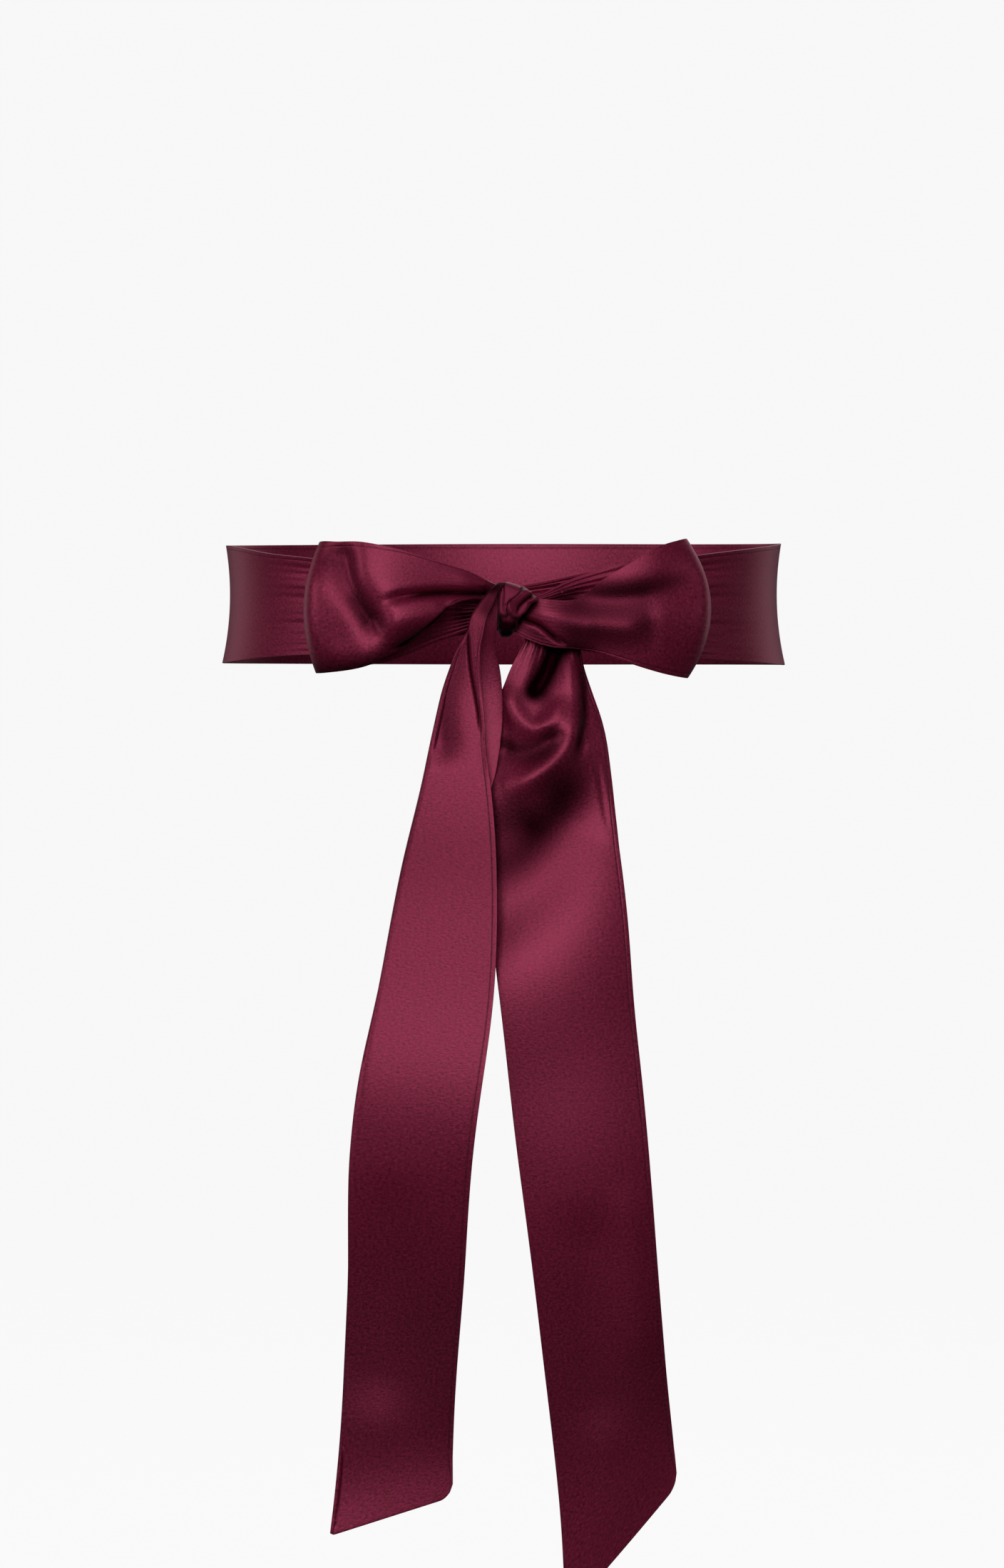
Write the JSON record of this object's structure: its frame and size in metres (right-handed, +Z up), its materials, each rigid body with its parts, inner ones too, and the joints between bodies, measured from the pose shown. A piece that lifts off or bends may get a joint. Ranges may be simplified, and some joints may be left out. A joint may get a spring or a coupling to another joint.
{
  "type": "satin sash",
  "caption": "Long satin sash wound round a waist and tied at the back in a bow with slanted tails.",
  "frame": {"origin": "middle of the waist that the sash goes round, halfway up the sash", "axes": "+Z up, -Y the front of the waist, +Y the side with the bow, +X the wearer's left"},
  "size_m": [0.3287, 0.2916, 0.5822],
  "materials": {
    "satin": "burgundy satin, fine diagonal grain, soft sheen"
  },
  "bodies": {
    "root": {"band_front": "satin", "band_left": "satin", "band_right": "satin", "loop_left": "satin", "loop_right": "satin", "knot": "satin", "tail_left": "satin", "tail_right": "satin"}
  },
  "joints": []
}
